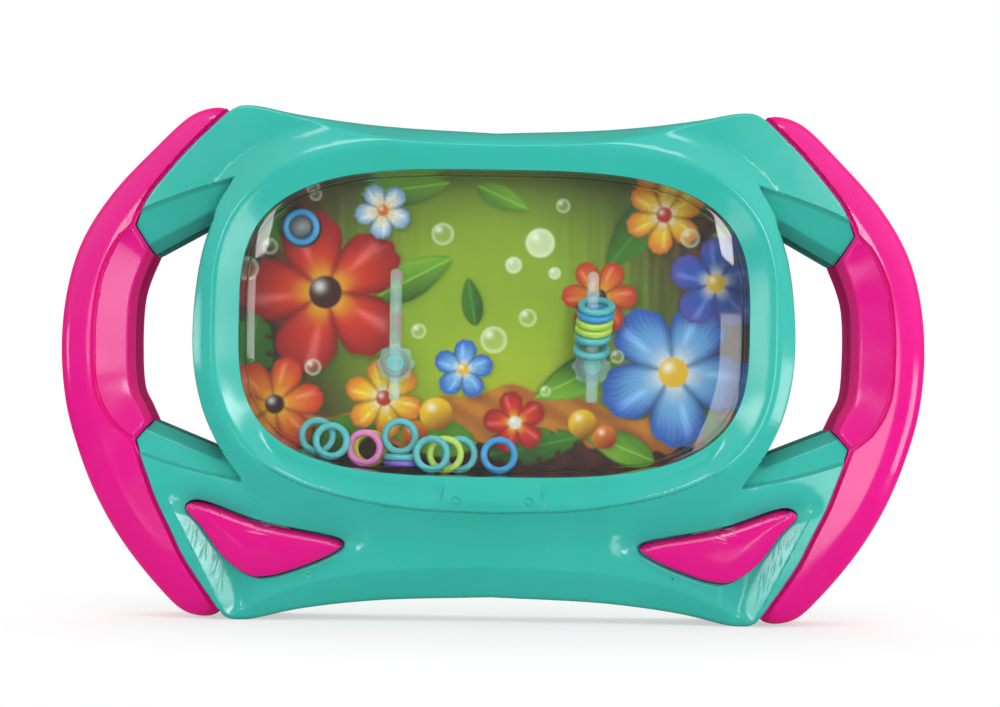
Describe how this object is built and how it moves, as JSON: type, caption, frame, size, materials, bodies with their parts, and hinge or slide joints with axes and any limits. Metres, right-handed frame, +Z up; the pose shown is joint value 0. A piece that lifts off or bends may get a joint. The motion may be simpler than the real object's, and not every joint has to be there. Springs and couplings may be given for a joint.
{
  "type": "handheld water game",
  "caption": "Handheld water ring-toss game: clear tank with pegs and loose rings in a two-shell body with side handles and two pump buttons.",
  "frame": {"origin": "centre of the box of the toy, on the ground plane under its two bottom flats", "axes": "+X to the player's right, +Y from the window to the back, +Z up; the window faces -Y"},
  "size_m": [0.226, 0.03, 0.1343],
  "materials": {
    "teal_plastic": "glossy moulded ABS",
    "magenta_plastic": "glossy moulded ABS",
    "clear_plastic": "clear polystyrene",
    "printed_card": null,
    "grey_rubber": "translucent grey rubber",
    "pump_rubber": "soft milky rubber",
    "screw_steel": "zinc-plated steel",
    "ring_teal": "soft plastic",
    "ring_blue": "soft plastic",
    "ring_lime": "soft plastic",
    "ring_pink": "soft plastic",
    "ring_yellow": "soft plastic",
    "ring_purple": "soft plastic"
  },
  "bodies": {
    "body": {"front_shell": "teal_plastic", "rear_shell": "teal_plastic", "tank_lens": "clear_plastic", "tank_back": "clear_plastic", "picture_card": "printed_card", "loose_ring_a": "ring_teal", "loose_ring_b": "ring_teal", "loose_ring_c": "ring_yellow", "loose_ring_d": "ring_pink", "loose_ring_e": "ring_purple", "loose_ring_f": "ring_teal", "loose_ring_g": "ring_teal", "loose_ring_h": "ring_teal", "loose_ring_i": "ring_lime", "loose_ring_j": "ring_teal", "loose_ring_k": "ring_blue", "plug_ring": "ring_blue", "right_handle_front": "magenta_plastic", "right_handle_rear": "magenta_plastic", "right_pump_bellows": "pump_rubber", "right_pump_hose": "pump_rubber", "right_pump_cup": "clear_plastic", "right_peg": "clear_plastic", "right_handle_screw_1": "screw_steel", "right_handle_screw_2": "screw_steel", "left_handle_front": "magenta_plastic", "left_handle_rear": "magenta_plastic", "left_pump_bellows": "pump_rubber", "left_pump_hose": "pump_rubber", "left_pump_cup": "clear_plastic", "left_peg": "clear_plastic", "left_handle_screw_1": "screw_steel", "left_handle_screw_2": "screw_steel", "shell_screw_1": "screw_steel", "shell_screw_2": "screw_steel", "shell_screw_3": "screw_steel", "shell_screw_4": "screw_steel", "shell_screw_5": "screw_steel", "shell_screw_6": "screw_steel", "shell_screw_7": "screw_steel", "shell_screw_8": "screw_steel"},
    "right_button": {"right_button": "magenta_plastic"},
    "left_button": {"left_button": "magenta_plastic"},
    "fill_plug": {"fill_plug": "grey_rubber"},
    "peg_ring_1": {"peg_ring_1": "ring_teal"},
    "peg_ring_2": {"peg_ring_2": "ring_teal"},
    "peg_ring_3": {"peg_ring_3": "ring_lime"},
    "peg_ring_4": {"peg_ring_4": "ring_lime"},
    "peg_ring_5": {"peg_ring_5": "ring_blue"},
    "peg_ring_6": {"peg_ring_6": "ring_teal"}
  },
  "joints": [
    {"name": "right_button_press", "type": "slide", "parent": "body", "child": "right_button", "axis": [0, 1, 0], "range_m": [0, 0.004], "stiffness_N_per_m": 1500, "deforming": ["right_pump_bellows"]},
    {"name": "left_button_press", "type": "slide", "parent": "body", "child": "left_button", "axis": [0, 1, 0], "range_m": [0, 0.004], "stiffness_N_per_m": 1500, "deforming": ["left_pump_bellows"]},
    {"name": "fill_plug_pull", "type": "slide", "parent": "body", "child": "fill_plug", "axis": [0, 1, 0], "range_m": [0, 0.014]},
    {"name": "peg_ring_1_lift", "type": "slide", "parent": "body", "child": "peg_ring_1", "axis": [0, 0, 1], "range_m": [0, 0.0015]},
    {"name": "peg_ring_2_lift", "type": "slide", "parent": "peg_ring_1", "child": "peg_ring_2", "axis": [0, 0, 1], "range_m": [0, 0.0015]},
    {"name": "peg_ring_3_lift", "type": "slide", "parent": "peg_ring_2", "child": "peg_ring_3", "axis": [0, 0, 1], "range_m": [0, 0.0015]},
    {"name": "peg_ring_4_lift", "type": "slide", "parent": "peg_ring_3", "child": "peg_ring_4", "axis": [0, 0, 1], "range_m": [0, 0.0015]},
    {"name": "peg_ring_5_lift", "type": "slide", "parent": "peg_ring_4", "child": "peg_ring_5", "axis": [0, 0, 1], "range_m": [0, 0.0015]},
    {"name": "peg_ring_6_lift", "type": "slide", "parent": "peg_ring_5", "child": "peg_ring_6", "axis": [0, 0, 1], "range_m": [0, 0.0015]}
  ]
}
